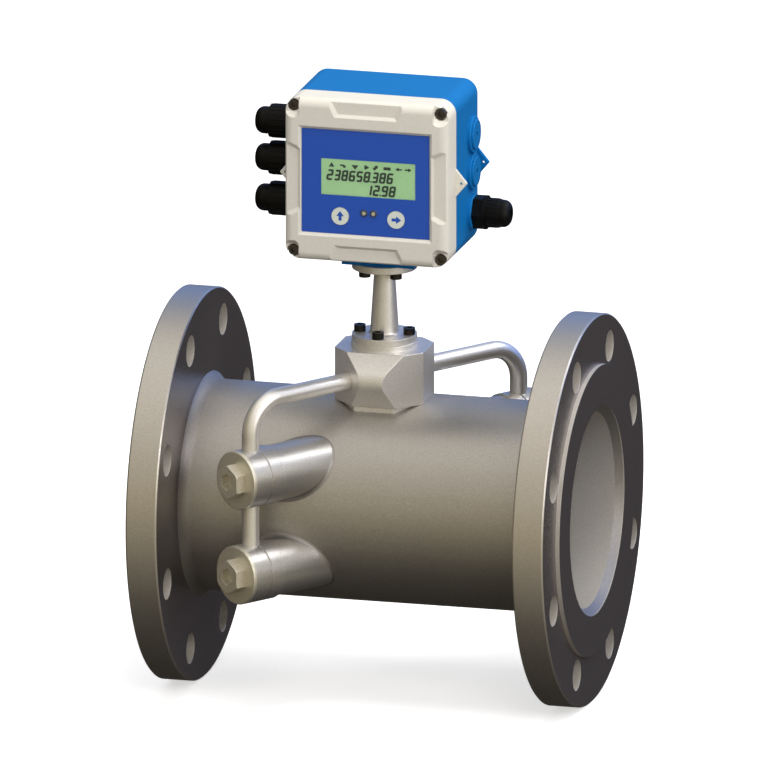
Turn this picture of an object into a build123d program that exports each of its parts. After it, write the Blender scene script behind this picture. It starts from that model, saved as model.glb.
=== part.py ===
from build123d import *
from math import cos, radians, sin
import os

# Ultrasonic flow meter for a 150 mm pipeline, in millimetres
# X runs along the pipe with the flow, -Y faces the reader and +Z is up
# The origin is on the pipe's axis, midway between the two flanges

# Measuring pipe
pipe_od = 152.4
pipe_wall = 5.0
face_to_face = 317.0
pipe_end_recess = 5.7

# Slip-on flanges with a raised face
flange_od = 285.0
flange_thickness = 23.0
raised_face_inset = 36.5
raised_face_height = 3.0
bolt_inset = 22.5
bolt_hole_d = 23.0
bolt_count = 8
flange_edge_break = 1.0
flange_weld_rise = 5.6
flange_weld_run = 7.6
flange_weld_hollow = 0.6
slip_clearance = 0.05

# Sensor pockets: two crossing-free paths, one above and one below the pipe's axis
path_angle = 54.6
path_height = 35.3
cap_standoff = 63.6
cap_plate = 3.0
cap_rim_round = 1.0
collar_d = 43.0
collar_length = 26.8
collar_edge_break = 1.0
collar_groove_from_cap = 15.0
collar_groove_width = 1.2
collar_groove_depth = 0.6
pocket_d = 40.6
pocket_root_depth = 36.2
pocket_weld_round = 4.0
sensor_bore_d = 30.0
sensor_clearance = 0.1
sensor_standoff = 14.3
sensor_length = 26.0
sensor_stub_d = 16.0
sensor_stub_length = 8.0
cap_bore_d = 34.0
cap_stem_clearance = 0.1
cap_stem_length = 4.8
seal_groove_width = 3.0
seal_groove_depth = 2.6
seal_section_d = 2.4
plug_flats = 22.0
plug_height = 8.0
plug_edge_break = 1.0
plug_socket_flats = 11.0
plug_socket_depth = 6.0

# Conduit tubes between the collars and the junction block
conduit_d = 12.7
conduit_wall = 1.5
conduit_from_cap = 14.3
conduit_run_rise = 15.3
conduit_bend = 25.0
conduit_seat = 4.5
conduit_clearance = 0.05

# Junction block on top of the pipe
block_width = 66.0
block_sink = 1.9
block_height = 38.7
block_top_depth = 53.6
block_bottom_depth = 63.8
block_crest_depth = 84.6
block_crest_rise = 21.2
block_crest_round = 14.0
block_corner_reach = 48.2
block_skirt_inset = 1.5
block_shaft_d = 16.0
boss_ring_d = 48.2
boss_ring_height = 4.0

# Post between the block and the housing
post_flange_d = 47.0
post_flange_thickness = 5.0
post_foot_d = 21.0
post_neck_d = 14.7
post_length = 59.0
post_bore_d = 10.0
post_root_round = 2.0

# Socket head screws that hold the post
screw_d = 5.0
screw_head_d = 8.5
screw_head_height = 5.0
screw_socket_flats = 4.0
screw_socket_depth = 2.5
screw_clearance = 0.25
screw_thread_gap = 0.05
lower_screw_circle_d = 36.8
upper_screw_circle_d = 33.0
screw_count = 4
screw_grip = 8.0

# Housing base: a cast box that is open towards the lid, a little off the post's axis
housing_x = -0.9
housing_width = 122.0
housing_height = 121.0
base_depth = 62.0
joint_y = -25.0
housing_wall = 5.0
housing_corner = 11.0
base_back_round = 2.5
foot_width = 54.0
foot_depth = 38.0
foot_height = 9.3
port_y = 19.0
port_lower = 26.3
port_middle = 56.4
port_upper = 83.9
port_boss_d = 27.0
port_boss_height = 2.5
port_boss_round = 0.8
port_d_left = 20.0
port_d_right = 16.0

# Lid
lid_depth = 25.0
lid_wall = 3.6
lid_front_round = 6.5
lid_floor = 3.0
lid_screw_inset = 6.2
column_r = 8.0
lid_screw_d = 4.0
lid_screw_head_d = 7.6
lid_screw_head_height = 4.0
lid_screw_grip = 14.0
lid_counterbore_d = 9.4
lid_counterbore_y = -41.5
notch_y = -45.5
notch_reach = 4.9
notch_lip = 3.6
notch_lip_round = 4.0

# Grip recesses at the middle of each lid side
recess_outer_width = 59.5
recess_inner_width = 46.8
recess_reach = 12.8
recess_depth = 2.2

# Sealing lugs on the lid and on the base
lug_reach = 8.7
lug_height = 21.0
lug_thickness = 3.0
lug_drop = 1.3
lug_hole_d = 2.2
lug_tip_round = 1.0

# Gasket in a groove round the base's rim, stepping in round the screw columns
gasket_inset = 2.9
gasket_width = 2.0
gasket_depth = 1.6
gasket_column_r = 5.3
gasket_clearance = 0.1

# Front panel with its window, keys and lights, measured from the housing's middle
panel_width = 95.2
panel_height = 77.2
panel_x = -0.5
panel_drop = 0.6
panel_recess = 2.6
panel_bevel = 2.2
panel_thickness = 0.8
panel_clearance = 0.1
window_width = 70.2
window_height = 27.0
window_x = 1.45
window_rise = 3.0
key_d = 12.8
key_clearance = 0.3
key_travel = 0.8
key_proud = 0.5
key_collar_d = 15.6
key_collar_thickness = 1.2
key_stem_d = 5.0
key_x = (-19.3, 22.3)
key_drop = 25.9
light_d = 4.0
light_clearance = 0.1
light_proud = 0.3
light_x = (-1.6, 5.5)
light_drop = 22.5

# Display module and its board
module_margin_x = 4.9
module_margin_z = 5.5
module_gap = 0.5
board_y = -38.9
board_thickness = 1.6
board_width = 100.0
board_height = 80.0
board_hole_x = 46.0
board_hole_z = 36.0
board_post_d = 7.0
switch_size = 6.0
switch_height = 1.5
switch_plunger_d = 3.4
board_screw_d = 3.0
board_screw_head_d = 5.5
board_screw_head_height = 2.0
board_screw_grip = 5.0
board_screw_end_gap = 1.0

# Main board on pillars from the base's back wall
main_board_gap_x = 10.0
main_board_gap_z = 5.5
main_board_y = 4.0
main_hole_inset_x = 4.0
main_hole_inset_z = 5.0
pillar_flats = 6.0
terminal_width = 76.0
terminal_height = 11.0
terminal_depth = 12.0
terminal_rows = (-38.0, 38.0)

# Cable glands: left ones are the larger size
gland_hex_length = 7.0
gland_hex_turn = 30.0
gland_thread_inside = 4.0
gland_cable_d = 7.0
gland_thread_gap = 0.05
gland_left_hex = 24.0
gland_left_cap_d = 24.3
gland_left_cap_length = 18.2
gland_left_tip_d = 19.8
gland_left_tip_length = 10.8
gland_right_hex = 22.0
gland_right_collar_d = 24.8
gland_right_collar_length = 2.2
gland_right_cap_d = 21.0
gland_right_cap_length = 9.8
gland_right_tip_d = 20.0
gland_right_tip_length = 8.0
gland_tip_round = 6.0
gland_wall = 2.0
gland_seal_length = 6.0

# Blanking plugs in the two spare ports on the right
blank_head_d = 22.0
blank_head_thickness = 1.5
blank_edge_break = 0.5
blank_socket_flats = 4.0
blank_socket_depth = 3.0

# How far a cutting tool runs past what it cuts
overrun = 1.0

# Places that follow from the sizes above
pipe_r = pipe_od / 2
bore_r = pipe_r - pipe_wall
raised_x = face_to_face / 2
disc_x = raised_x - raised_face_height
flange_back_x = disc_x - flange_thickness
raised_r = flange_od / 2 - raised_face_inset
bolt_circle_r = flange_od / 2 - bolt_inset
pipe_end_x = raised_x - pipe_end_recess
cap_face = pipe_r + cap_standoff
cap_seat = cap_face - cap_plate
collar_joint = cap_seat - collar_length
pocket_root = pipe_r - pocket_root_depth
sensor_tip = pipe_r + sensor_standoff
conduit_reach = cap_face - conduit_from_cap
conduit_run_z = pipe_r + conduit_run_rise
conduit_end = collar_d / 2 - conduit_seat
block_bottom = pipe_r - block_sink
block_top = block_bottom + block_height
block_crest_z = block_bottom + block_crest_rise
post_bottom = block_top + boss_ring_height
post_foot_z = post_bottom + post_flange_thickness
post_top = post_bottom + post_length
post_neck_z = post_top - post_flange_thickness
housing_bottom = post_top + foot_height
housing_mid_z = housing_bottom + housing_height / 2
base_back_y = joint_y + base_depth
base_floor_y = base_back_y - housing_wall
lid_front_y = joint_y - lid_depth
panel_seat_y = lid_front_y + panel_recess
panel_front_y = panel_seat_y - panel_thickness
lid_floor_y = panel_seat_y + lid_floor
port_face_x = housing_width / 2 + port_boss_height
port_heights = (port_lower, port_middle, port_upper)
lid_screw_x = housing_width / 2 - lid_screw_inset
lid_screw_z = housing_height / 2 - lid_screw_inset
main_board_width = housing_width - 2 * (housing_wall + main_board_gap_x)
main_board_height = housing_height - 2 * (housing_wall + main_board_gap_z)
main_hole_x = main_board_width / 2 - main_hole_inset_x
main_hole_z = main_board_height / 2 - main_hole_inset_z


def revolve_x(points):
    """Body of revolution about the pipe's axis from (x, radius) points."""
    return revolve(make_face(Polyline(*points, close=True)), Axis.X)


def rod(plane, diameter, start, end):
    """Round bar along a plane's normal, between two distances from the plane."""
    bar = Cylinder(diameter / 2, end - start, align=(Align.CENTER, Align.CENTER, Align.MIN))
    return plane * Pos(0, 0, start) * bar


def hex_bar(plane, flats, start, end, turn=0):
    """Hexagon bar along a plane's normal, sized across its flats."""
    outline = RegularPolygon(flats / 2, 6, major_radius=False, rotation=turn)
    return extrude(plane * Pos(0, 0, start) * outline, amount=end - start)


def group(solids):
    """Several like solids in one node."""
    return Compound(children=list(solids))


def socket_screw(place, diameter, head_d, head_height, length):
    """Socket head screw whose head stands on the plane and whose shank goes below it."""
    head = rod(place, head_d, 0, head_height)
    shank = rod(place, diameter, -length, 0)
    recess = hex_bar(place, screw_socket_flats, head_height - screw_socket_depth, head_height)
    return head + shank - recess


# Pipe, flanges and their welds

def sensor_plane(side, level):
    """Plane on one sensor's axis: the normal points outwards and local X points up."""
    outwards = (side * cos(radians(path_angle)), side * sin(radians(path_angle)), 0)
    return Plane(origin=(0, 0, level * path_height), x_dir=(0, 0, 1), z_dir=outwards)


def measuring_pipe():
    tube = revolve_x([
        (-pipe_end_x, bore_r),
        (pipe_end_x, bore_r),
        (pipe_end_x, pipe_r),
        (-pipe_end_x, pipe_r),
    ])
    for side in (-1, 1):
        for level in (-1, 1):
            tube -= rod(sensor_plane(side, level), sensor_bore_d, pocket_root, collar_joint)
    return tube


def flange():
    """Outlet flange: the inlet one is its mirror image."""
    bore = pipe_r + slip_clearance
    outer = flange_od / 2
    rim = flange_edge_break
    body = revolve_x([
        (flange_back_x, bore),
        (raised_x, bore),
        (raised_x, raised_r),
        (disc_x, raised_r),
        (disc_x, outer - rim),
        (disc_x - rim, outer),
        (flange_back_x + rim, outer),
        (flange_back_x, outer - rim),
    ])
    for place in PolarLocations(bolt_circle_r, bolt_count, 180 / bolt_count):
        body -= rod(Plane.YZ * place, bolt_hole_d, flange_back_x - overrun, disc_x + overrun)
    return body


def flange_welds():
    """Four fillet welds: inside and outside of each flange, the outer ones ground a little hollow."""
    bore = pipe_r + slip_clearance
    inner = revolve_x([(pipe_end_x, bore_r), (pipe_end_x, bore), (pipe_end_x + bore - bore_r, bore)])
    root = (flange_back_x, pipe_r)
    toe = (flange_back_x - flange_weld_run, pipe_r)
    crown = (flange_back_x, pipe_r + flange_weld_rise)
    belly = (flange_back_x - flange_weld_run / 2 + flange_weld_hollow,
             pipe_r + flange_weld_rise / 2 - flange_weld_hollow)
    section = make_face(Wire([Line(root, toe), ThreePointArc(toe, belly, crown), Line(crown, root)]))
    beads = [inner, revolve(section, Axis.X)]
    return group(beads + [mirror(bead, about=Plane.YZ) for bead in beads])


# Sensor pockets

def pocket(plane):
    """Tube coped to the pipe's wall."""
    tube = rod(plane, pocket_d, pocket_root, collar_joint)
    tube -= rod(plane, sensor_bore_d, pocket_root, collar_joint)
    return tube - rod(Plane.YZ, pipe_od, -pipe_end_x, pipe_end_x)


def saddle_weld(plane):
    """Hollow fillet weld in the corner between a pocket and the pipe."""
    joined = rod(Plane.YZ, pipe_od, -pipe_end_x, pipe_end_x) + rod(plane, pocket_d, pocket_root, collar_joint)
    seam = [edge for edge in joined.edges() if edge.geom_type not in (GeomType.CIRCLE, GeomType.LINE)]
    bead = fillet(seam, pocket_weld_round)
    bead -= rod(Plane.YZ, pipe_od + 2 * slip_clearance, -pipe_end_x - overrun, pipe_end_x + overrun)
    return bead - rod(plane, pocket_d + 2 * slip_clearance, 0, collar_joint + overrun)


def conduit_hole(reach, up):
    """Stepped hole for a conduit tube in a collar's wall, above or below the sensor's axis."""
    turn = plane_up(reach, up)
    mouth = rod(turn, conduit_d + 2 * conduit_clearance, conduit_end, collar_d)
    passage = rod(turn, conduit_d - 2 * conduit_wall, 0, conduit_end)
    return mouth + passage


def plane_up(reach, up):
    """In a sensor's own frame, the plane whose normal points up or down at a distance out."""
    return Plane(origin=(0, 0, reach), x_dir=(0, 0, 1), z_dir=(up, 0, 0))


def collar(plane, ways):
    """Turned collar: stepped bore, a fine groove and a conduit hole for each way."""
    body = rod(Plane.XY, collar_d, collar_joint, cap_seat)
    body = chamfer(body.edges().filter_by(GeomType.CIRCLE).sort_by(Axis.Z)[0], collar_edge_break)
    body -= rod(Plane.XY, sensor_bore_d, collar_joint, cap_seat)
    body -= rod(Plane.XY, cap_bore_d, cap_seat - cap_stem_length, cap_seat)
    groove_start = cap_seat - collar_groove_from_cap
    groove = rod(Plane.XY, collar_d + overrun, groove_start, groove_start + collar_groove_width)
    groove -= rod(Plane.XY, collar_d - 2 * collar_groove_depth, groove_start,
                  groove_start + collar_groove_width)
    body -= groove
    for up in ways:
        body -= conduit_hole(conduit_reach, up)
    return plane * body


def cap(plane):
    """Cap plate with a sealed stem inside and a hexagon with a socket outside."""
    plate = rod(Plane.XY, collar_d, cap_seat, cap_face)
    rim = plate.edges().filter_by(GeomType.CIRCLE).sort_by(Axis.Z)[-1]
    body = fillet(rim, cap_rim_round)
    stem_d = cap_bore_d - 2 * cap_stem_clearance
    stem_start = cap_seat - cap_stem_length
    body += rod(Plane.XY, stem_d, stem_start, cap_seat)
    middle = cap_seat - cap_stem_length / 2
    groove = rod(Plane.XY, stem_d + overrun, middle - seal_groove_width / 2, middle + seal_groove_width / 2)
    groove -= rod(Plane.XY, stem_d - 2 * seal_groove_depth, middle - seal_groove_width / 2,
                  middle + seal_groove_width / 2)
    body -= groove
    plug_end = cap_face + plug_height
    knob = hex_bar(Plane.XY, plug_flats, cap_face, plug_end)
    corners = 2 * plug_flats / 3 ** 0.5
    turned = chamfer(
        rod(Plane.XY, corners, cap_face, plug_end).edges().filter_by(GeomType.CIRCLE).sort_by(Axis.Z)[-1],
        plug_edge_break)
    body += knob & turned
    body -= hex_bar(Plane.XY, plug_socket_flats, plug_end - plug_socket_depth, plug_end)
    return plane * body


def seal_ring(plane):
    """O-ring in the groove of a cap's stem."""
    floor_r = cap_bore_d / 2 - cap_stem_clearance - seal_groove_depth
    ring_r = floor_r + screw_thread_gap + seal_section_d / 2
    return plane * Pos(0, 0, cap_seat - cap_stem_length / 2) * Torus(ring_r, seal_section_d / 2)


def sensor(plane):
    """Ultrasonic sensor: a flat faced body with a smaller cable end."""
    body_end = sensor_tip + sensor_length
    body = rod(plane, sensor_bore_d - 2 * sensor_clearance, sensor_tip, body_end)
    return body + rod(plane, sensor_stub_d, body_end, body_end + sensor_stub_length)


# Conduit tubes

def tube_along(path, start_plane):
    """Round tube along a path, hollow for the cables."""
    outer = sweep(start_plane * Circle(conduit_d / 2), path=path)
    inner = sweep(start_plane * Circle(conduit_d / 2 - conduit_wall), path=path)
    return outer - inner


def link_tube(side):
    """Straight tube between the upper and the lower collar of one side."""
    foot = sensor_plane(side, 0).from_local_coords(Vector(0, 0, conduit_reach))
    half = path_height - conduit_end
    stand = Plane(origin=(foot.X, foot.Y, 0), z_dir=(0, 0, 1))
    return rod(stand, conduit_d, -half, half) - rod(stand, conduit_d - 2 * conduit_wall, -half, half)


def elbow_tube(side):
    """Bent tube from the upper collar up and across into the block's corner."""
    own = sensor_plane(side, 0)
    start_z = path_height + conduit_end
    corners = [
        own.from_local_coords(Vector(start_z, 0, conduit_reach)),
        own.from_local_coords(Vector(conduit_run_z, 0, conduit_reach)),
        own.from_local_coords(Vector(conduit_run_z, 0, block_socket_floor())),
    ]
    path = FilletPolyline(*corners, radius=conduit_bend)
    start = Plane(origin=corners[0], z_dir=(0, 0, 1))
    return tube_along(path, start)


def block_socket_floor():
    """Distance from the post's axis to the floor of a conduit socket in the block's corner."""
    corner_face = block_corner_reach / (cos(radians(path_angle)) + sin(radians(path_angle)))
    return corner_face - conduit_seat


# Junction block and post

def screw_places(circle_d, first_angle):
    """Screw centres on a circle about the post's axis."""
    return PolarLocations(circle_d / 2, screw_count, first_angle)


def corner_prism(reach, bottom, top):
    """Upright square prism, turned so that its faces cut the block's corners at 45 degrees."""
    side = reach * 2 ** 0.5
    prism = Box(side, side, top - bottom, align=(Align.CENTER, Align.CENTER, Align.MIN))
    return Pos(0, 0, bottom) * Rot(0, 0, 45) * prism


def junction_block():
    """Cast block: sloped faces that meet in a soft crest, cut corners and a round seat on top."""
    half_bottom = block_bottom_depth / 2
    half_crest = block_crest_depth / 2
    half_top = block_top_depth / 2
    section = make_face(Plane.YZ * Polyline(
        (-half_bottom, block_bottom),
        (-half_crest, block_crest_z),
        (-half_top, block_top),
        (half_top, block_top),
        (half_crest, block_crest_z),
        (half_bottom, block_bottom),
        close=True))
    body = extrude(section, amount=block_width / 2, both=True)
    crests = [edge for edge in body.edges().filter_by(Axis.X)
              if abs(edge.center().Z - block_crest_z) < 0.1]
    body = fillet(crests, block_crest_round)
    body &= corner_prism(block_corner_reach, block_bottom, block_top)
    skirt = Pos(0, 0, block_bottom) * Box(
        block_width - 2 * block_skirt_inset,
        block_bottom_depth - 2 * block_skirt_inset,
        pipe_wall * 4,
        align=(Align.CENTER, Align.CENTER, Align.MAX))
    skirt &= corner_prism(block_corner_reach - 2 * block_skirt_inset, 0, block_bottom)
    body += skirt
    body += rod(Plane.XY, boss_ring_d, block_top, post_bottom)
    body -= rod(Plane.YZ, pipe_od, -block_width, block_width)
    body -= rod(Plane.XY, block_shaft_d, conduit_run_z - block_shaft_d / 2, post_bottom)
    for side in (-1, 1):
        run = Plane(origin=(0, 0, conduit_run_z), x_dir=(0, 0, 1), z_dir=sensor_plane(side, 0).z_dir)
        body -= rod(run, conduit_d - 2 * conduit_wall, 0, block_width)
        body -= rod(run, conduit_d + 2 * conduit_clearance, block_socket_floor(), block_width)
    for place in screw_places(lower_screw_circle_d, 0):
        body -= rod(Plane.XY * place, screw_d + 2 * screw_thread_gap, post_bottom - screw_grip, post_bottom)
    return body


def post():
    """Turned post: two flanges, a tapered shaft and a cable bore."""
    bore = post_bore_d / 2
    rim = post_flange_d / 2
    section = make_face(Plane.XZ * Polyline(
        (bore, post_bottom),
        (rim, post_bottom),
        (rim, post_foot_z),
        (post_foot_d / 2, post_foot_z),
        (post_neck_d / 2, post_neck_z),
        (rim, post_neck_z),
        (rim, post_top),
        (bore, post_top),
        close=True))
    roots = [point for point in section.vertices()
             if post_bottom < point.Z < post_top and point.X < rim - post_root_round]
    body = revolve(fillet(roots, post_root_round), Axis.Z)
    hole_d = screw_d + 2 * screw_clearance
    for place in screw_places(lower_screw_circle_d, 0):
        body -= rod(Plane.XY * place, hole_d, post_bottom, post_foot_z)
    for place in screw_places(upper_screw_circle_d, 45):
        body -= rod(Plane.XY * place, hole_d, post_neck_z, post_top)
    return body


def post_screws(circle_d, first_angle, seat_z, up):
    """Four screws round the post, with their heads above or below the seat."""
    length = post_flange_thickness + screw_grip
    screws = []
    for place in screw_places(circle_d, first_angle):
        centre = place.position
        seat = Plane(origin=(centre.X, centre.Y, seat_z), x_dir=(1, 0, 0), z_dir=(0, 0, up))
        screws.append(socket_screw(seat, screw_d, screw_head_d, screw_head_height, length))
    return group(screws)


# Housing: sketches on planes that face the reader

def front_plane(y):
    """Plane that faces the reader at a depth: local Y is height above the housing's middle."""
    return Plane(origin=(housing_x, y, housing_mid_z), x_dir=(1, 0, 0), z_dir=(0, -1, 0))


def slab(sketch, front_y, back_y):
    """Extrude a sketch between two depths."""
    return extrude(front_plane(back_y) * sketch, amount=back_y - front_y)


def pin(x, z, diameter, front_y, back_y):
    """Round bar along Y at a place measured from the housing's middle."""
    return slab(Pos(x, z) * Circle(diameter / 2), front_y, back_y)


def corners(x, z):
    """The four mirrored places of one point."""
    return [(sx * x, sz * z) for sx in (-1, 1) for sz in (-1, 1)]


def cavity_outline(wall):
    """Inside of the walls, less the four screw columns."""
    outline = RectangleRounded(housing_width - 2 * wall, housing_height - 2 * wall, housing_corner - wall)
    for x, z in corners(lid_screw_x, lid_screw_z):
        outline -= Pos(x, z) * Circle(column_r)
    return outline


def gasket_line(offset):
    """Outline beside the gasket's middle line, passing inside the screw columns."""
    half = housing_width / 2 - gasket_inset + offset
    tall = housing_height / 2 - gasket_inset + offset
    outline = RectangleRounded(2 * half, 2 * tall, housing_corner - gasket_inset + offset)
    for x, z in corners(lid_screw_x, lid_screw_z):
        away = column_r * 2
        outline -= Pos(x, z) * Circle(gasket_column_r - offset)
        outline -= Pos(x + away / 2 * (1 if x > 0 else -1), z + away / 2 * (1 if z > 0 else -1)) \
            * Rectangle(away, away)
    return outline


def gasket_band(width):
    """Closed band of one width along the gasket's middle line."""
    return gasket_line(width / 2) - gasket_line(-width / 2)


def lug(side, back_y):
    """Triangular sealing lug that points away from one side, with a wire hole."""
    edge = side * housing_width / 2
    reach = side * lug_reach
    outline = make_face(Polyline(
        (edge - reach, -lug_drop - lug_height),
        (edge + reach, -lug_drop),
        (edge - reach, -lug_drop + lug_height),
        close=True))
    tip = outline.vertices().sort_by(Axis.X)[-1 if side > 0 else 0]
    outline = fillet(tip, lug_tip_round)
    outline -= Pos(edge + reach / 2, -lug_drop) * Circle(lug_hole_d / 2)
    return slab(outline, back_y - lug_thickness, back_y)


def port_plane(side, height):
    """Plane on the face of one cable port, with its normal pointing outwards."""
    return Plane(origin=(housing_x + side * port_face_x, port_y, housing_bottom + height),
                 x_dir=(0, 0, 1), z_dir=(side, 0, 0))


def port_boss(plane):
    """Round boss of one cable port, with a soft outer edge."""
    boss = rod(Plane.XY, port_boss_d, -port_boss_height - housing_wall, 0)
    rim = boss.edges().filter_by(GeomType.CIRCLE).sort_by(Axis.Z)[-1]
    return plane * fillet(rim, port_boss_round)


def housing_base():
    """Cast box with its foot, port bosses, screw columns, lugs and gasket groove."""
    body = slab(RectangleRounded(housing_width, housing_height, housing_corner), joint_y, base_back_y)
    back = body.faces().sort_by(Axis.Y)[-1]
    body = fillet(back.edges(), base_back_round)
    body += Pos(0, 0, post_top) * Box(foot_width, foot_depth, foot_height + housing_wall,
                                      align=(Align.CENTER, Align.CENTER, Align.MIN))
    for side in (-1, 1):
        body += lug(side, base_back_y)
        for height in port_heights:
            body += port_boss(port_plane(side, height))
    body -= slab(cavity_outline(housing_wall), joint_y - overrun, base_floor_y)
    body -= slab(gasket_band(gasket_width), joint_y, joint_y + gasket_depth)
    for x, z in corners(lid_screw_x, lid_screw_z):
        body -= pin(x, z, lid_screw_d + 2 * screw_thread_gap, joint_y, joint_y + lid_screw_grip + overrun)
    for height in port_heights:
        through = port_boss_height + housing_wall + overrun
        body -= rod(port_plane(-1, height), port_d_left, -through, overrun)
        body -= rod(port_plane(1, height), port_d_right, -through, overrun)
    body -= rod(Plane.XY, post_bore_d, post_top - overrun, housing_bottom + housing_wall + overrun)
    for place in screw_places(upper_screw_circle_d, 45):
        body -= rod(Plane.XY * place, screw_d + 2 * screw_thread_gap, post_top, post_top + screw_grip)
    return body


def grip_recess(turn, edge):
    """Shallow recess with sloped walls that runs out over the lid's rounded edge."""
    slope = (recess_outer_width - recess_inner_width) / 2 / recess_reach

    def outline(depth):
        inner_z = edge - recess_reach + depth
        outer_z = edge + lid_front_round
        narrow = recess_inner_width / 2 - depth
        wide = narrow + slope * (outer_z - inner_z)
        return make_face(Polyline(
            (-narrow, inner_z), (narrow, inner_z), (wide, outer_z), (-wide, outer_z), close=True))
    top = front_plane(lid_front_y - overrun) * Rot(0, 0, turn) * outline(-overrun)
    floor = front_plane(lid_front_y + recess_depth) * Rot(0, 0, turn) * outline(recess_depth)
    return loft([floor, top])


def corner_notch(sx, sz):
    """Step in a lid corner that frees the screw head, with a sloped lip on its inner level side."""
    def outline(lip):
        low = lid_screw_z - notch_reach - lip
        left = lid_screw_x - notch_reach
        size = housing_corner * 2
        sketch = RectangleRounded(size, size, notch_lip_round)
        return Pos(sx * (left + size / 2), sz * (low + size / 2)) * sketch
    straight = slab(outline(0), lid_front_y - overrun, notch_y)
    rise = notch_y - lid_front_y
    lip = loft([
        front_plane(notch_y) * outline(0),
        front_plane(lid_front_y - overrun) * outline(notch_lip * (rise + overrun) / rise),
    ])
    return straight + lip


def panel_opening():
    """Recess for the front panel, with a bevel all round."""
    outline = Pos(panel_x, -panel_drop) * Rectangle(panel_width, panel_height)
    recess = slab(outline, lid_front_y - overrun, panel_seat_y)
    grown = panel_bevel + overrun
    bevel = loft([
        front_plane(lid_front_y + panel_bevel) * outline,
        front_plane(lid_front_y - overrun) * Pos(panel_x, -panel_drop) * Rectangle(
            panel_width + 2 * grown, panel_height + 2 * grown),
    ])
    return recess + bevel


def housing_lid():
    """Moulded lid with its panel recess, window, grip recesses, screw notches and lugs."""
    body = slab(RectangleRounded(housing_width, housing_height, housing_corner), lid_front_y, joint_y)
    front = body.faces().sort_by(Axis.Y)[0]
    body = fillet(front.edges(), lid_front_round)
    for turn in (0, 180):
        body -= grip_recess(turn, housing_height / 2)
        body -= grip_recess(turn + 90, housing_width / 2)
    body -= slab(cavity_outline(lid_wall), lid_floor_y, joint_y + overrun)
    for x, z in corners(board_hole_x, board_hole_z):
        body += pin(x, z, board_post_d, lid_floor_y - overrun, board_y)
    for side in (-1, 1):
        body += lug(side, joint_y)
    for sx, sz in corners(1, 1):
        body -= corner_notch(sx, sz)
    for x, z in corners(lid_screw_x, lid_screw_z):
        body -= pin(x, z, lid_counterbore_d, lid_front_y - overrun, lid_counterbore_y)
        body -= pin(x, z, lid_screw_d + 2 * screw_clearance, lid_counterbore_y - overrun, joint_y + overrun)
    for x, z in corners(board_hole_x, board_hole_z):
        body -= pin(x, z, board_screw_d + 2 * screw_thread_gap, board_y - board_screw_grip, board_y)
    body -= panel_opening()
    window = Pos(window_x, window_rise) * Rectangle(window_width, window_height)
    body -= slab(window, panel_seat_y - overrun, lid_floor_y + overrun)
    for x in key_x:
        body -= pin(x, -key_drop, key_d + 2 * key_clearance, panel_seat_y - overrun, lid_floor_y + overrun)
    for x in light_x:
        body -= pin(x, -light_drop, light_d + 2 * light_clearance, panel_seat_y - overrun,
                    lid_floor_y + overrun)
    return body


def lid_gasket():
    band = gasket_band(gasket_width - 2 * gasket_clearance)
    return slab(band, joint_y, joint_y + gasket_depth)


def lid_screws():
    """Four screws in the lid's corners."""
    length = joint_y - lid_counterbore_y + lid_screw_grip
    screws = []
    for x, z in corners(lid_screw_x, lid_screw_z):
        seat = front_plane(lid_counterbore_y) * Pos(x, z)
        screws.append(socket_screw(seat, lid_screw_d, lid_screw_head_d, lid_screw_head_height, length))
    return group(screws)


# Front panel, window, keys and lights

def front_panel():
    """Thin printed plate in the lid's recess, open at the window, keys and lights."""
    outline = Pos(panel_x, -panel_drop) * Rectangle(
        panel_width - 2 * panel_clearance, panel_height - 2 * panel_clearance)
    outline -= Pos(window_x, window_rise) * Rectangle(window_width, window_height)
    for x in key_x:
        outline -= Pos(x, -key_drop) * Circle(key_d / 2 + key_clearance)
    for x in light_x:
        outline -= Pos(x, -light_drop) * Circle(light_d / 2 + light_clearance)
    return slab(outline, panel_front_y, panel_seat_y)


def window_block(front_y, back_y):
    """Block that fills the window's opening with a small clearance."""
    outline = Pos(window_x, window_rise) * Rectangle(
        window_width - 2 * panel_clearance, window_height - 2 * panel_clearance)
    return slab(outline, front_y, back_y)


def display_module():
    """Liquid crystal module: its raised glass reaches up to the window."""
    frame = Pos(window_x, window_rise) * Rectangle(
        window_width + 2 * module_margin_x, window_height + 2 * module_margin_z)
    back = lid_floor_y + module_gap
    return slab(frame, back, board_y) + window_block(panel_seat_y, back)


def switch_front():
    """Depth of a switch plunger's tip, which a pressed key just misses."""
    return board_y - switch_height - module_gap


def key(x):
    """Round key with a retaining collar behind the lid and a stem towards its switch."""
    collar_front = lid_floor_y + key_clearance
    collar_back = collar_front + key_collar_thickness
    stem_end = switch_front() - key_travel - slip_clearance * 4
    body = pin(x, -key_drop, key_d, panel_front_y - key_proud, collar_front)
    body += pin(x, -key_drop, key_collar_d, collar_front, collar_back)
    return body + pin(x, -key_drop, key_stem_d, collar_back, stem_end)


def key_switches():
    """Two small switches on the display board, behind the keys."""
    switches = []
    for x in key_x:
        case = slab(Pos(x, -key_drop) * Rectangle(switch_size, switch_size), board_y - switch_height, board_y)
        switches.append(case + pin(x, -key_drop, switch_plunger_d, switch_front(), board_y - switch_height))
    return group(switches)


def indicator_lights():
    """Two round light guides from the board to the panel."""
    return group(pin(x, -light_drop, light_d, panel_front_y - light_proud, board_y) for x in light_x)


# Boards inside the housing

def display_board():
    board = slab(Rectangle(board_width, board_height), board_y, board_y + board_thickness)
    for x, z in corners(board_hole_x, board_hole_z):
        board -= pin(x, z, board_screw_d + 2 * screw_clearance, board_y, board_y + board_thickness)
    return board


def main_board():
    board = slab(Rectangle(main_board_width, main_board_height), main_board_y,
                 main_board_y + board_thickness)
    for x, z in corners(main_hole_x, main_hole_z):
        board -= pin(x, z, board_screw_d + 2 * screw_clearance, main_board_y,
                     main_board_y + board_thickness)
    return board


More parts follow.
